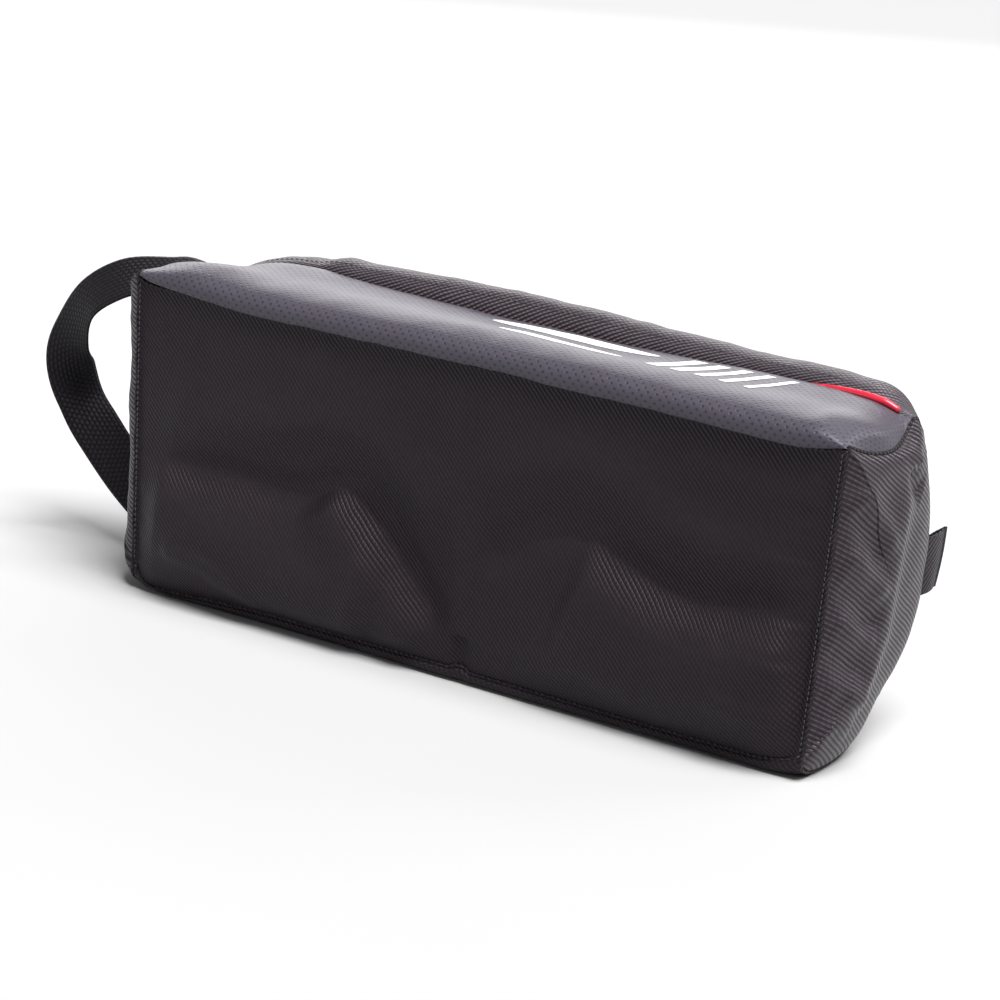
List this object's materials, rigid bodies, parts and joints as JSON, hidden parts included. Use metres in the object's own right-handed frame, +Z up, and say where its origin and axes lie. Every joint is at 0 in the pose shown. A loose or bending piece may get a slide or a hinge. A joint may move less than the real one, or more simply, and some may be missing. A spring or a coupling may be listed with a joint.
{
  "type": "golf shoe bag",
  "caption": "Soft fabric shoe bag with a flat base, perforated front wall, zipped arched roof that opens in two halves, webbing carry loop and end tab.",
  "frame": {"origin": "middle of the face that the bag lies on, the underside of its long back wall", "axes": "+X along the bag from the carry loop to the end tab, +Y from the base to the zip, +Z up from the back wall to the perforated front wall"},
  "size_m": [0.4775, 0.1168, 0.1659],
  "materials": {
    "twill": "coarse near-black polyester twill with a slight sheen",
    "perforated": "satin dark grey synthetic leather with a grid of small pin holes",
    "piping": "glossy red synthetic leather",
    "webbing": "black ribbed polypropylene webbing",
    "binding": "matt black woven tape",
    "board": "matt black plastic sheet",
    "zip_tape": "matt black herringbone zip tape",
    "zip_coil": "semi-gloss black nylon coil",
    "zip_metal": "gunmetal plated zinc",
    "grip": "matt black moulded rubber"
  },
  "bodies": {
    "bag": {"base_panel": "twill", "base_board": "board", "front_wall": "perforated", "back_wall": "twill", "end_panel_left": "twill", "end_panel_right": "twill", "roof_end_left_front": "twill", "roof_end_left_back": "twill", "roof_end_right_front": "twill", "roof_end_right_back": "twill", "piping_front": "piping", "seam_binding_left": "binding", "seam_binding_right": "binding", "seam_binding_base_front": "binding", "seam_binding_base_back": "binding", "zip_tape_end_left": "zip_tape", "zip_tape_end_right": "zip_tape", "zip_stop_left": "zip_metal", "zip_stop_right": "zip_metal", "handle_end_top": "webbing", "handle_end_bottom": "webbing"},
    "roof_front": {"roof_flap_front": "twill", "zip_tape_front": "zip_tape", "zip_coil_front": "zip_coil"},
    "roof_back": {"roof_flap_back": "twill", "zip_tape_back": "zip_tape", "zip_coil_back": "zip_coil"},
    "slider": {"zip_slider": "zip_metal"},
    "pull": {"zip_pull": "zip_metal", "pull_grip": "grip"},
    "handle": {"handle_webbing": "webbing"},
    "tab": {"zip_end_tab": "twill"}
  },
  "joints": [
    {"name": "roof_front_open", "type": "hinge", "parent": "bag", "child": "roof_front", "pos_m": [0, 0.031, 0.1647], "axis": [1, 0, 0], "range_deg": [0, 60]},
    {"name": "roof_back_open", "type": "hinge", "parent": "bag", "child": "roof_back", "pos_m": [0, 0.031, 0], "axis": [-1, 0, 0], "range_deg": [0, 20]},
    {"name": "zip_slide", "type": "slide", "parent": "bag", "child": "slider", "axis": [1, 0, 0], "range_m": [0, 0.3283]},
    {"name": "pull_swing", "type": "hinge", "parent": "slider", "child": "pull", "pos_m": [-0.1715, 0.0691, 0.08], "axis": [0, 0, -1], "range_deg": [0, 170]},
    {"name": "handle_swing", "type": "hinge", "parent": "bag", "child": "handle", "pos_m": [-0.203, 0.027, 0.085], "axis": [0, 0, 1], "range_deg": [-65, 65]},
    {"name": "tab_fold", "type": "hinge", "parent": "bag", "child": "tab", "pos_m": [0.1925, 0.0633, 0.08], "axis": [0, 0, 1], "range_deg": [-85, 5]}
  ]
}
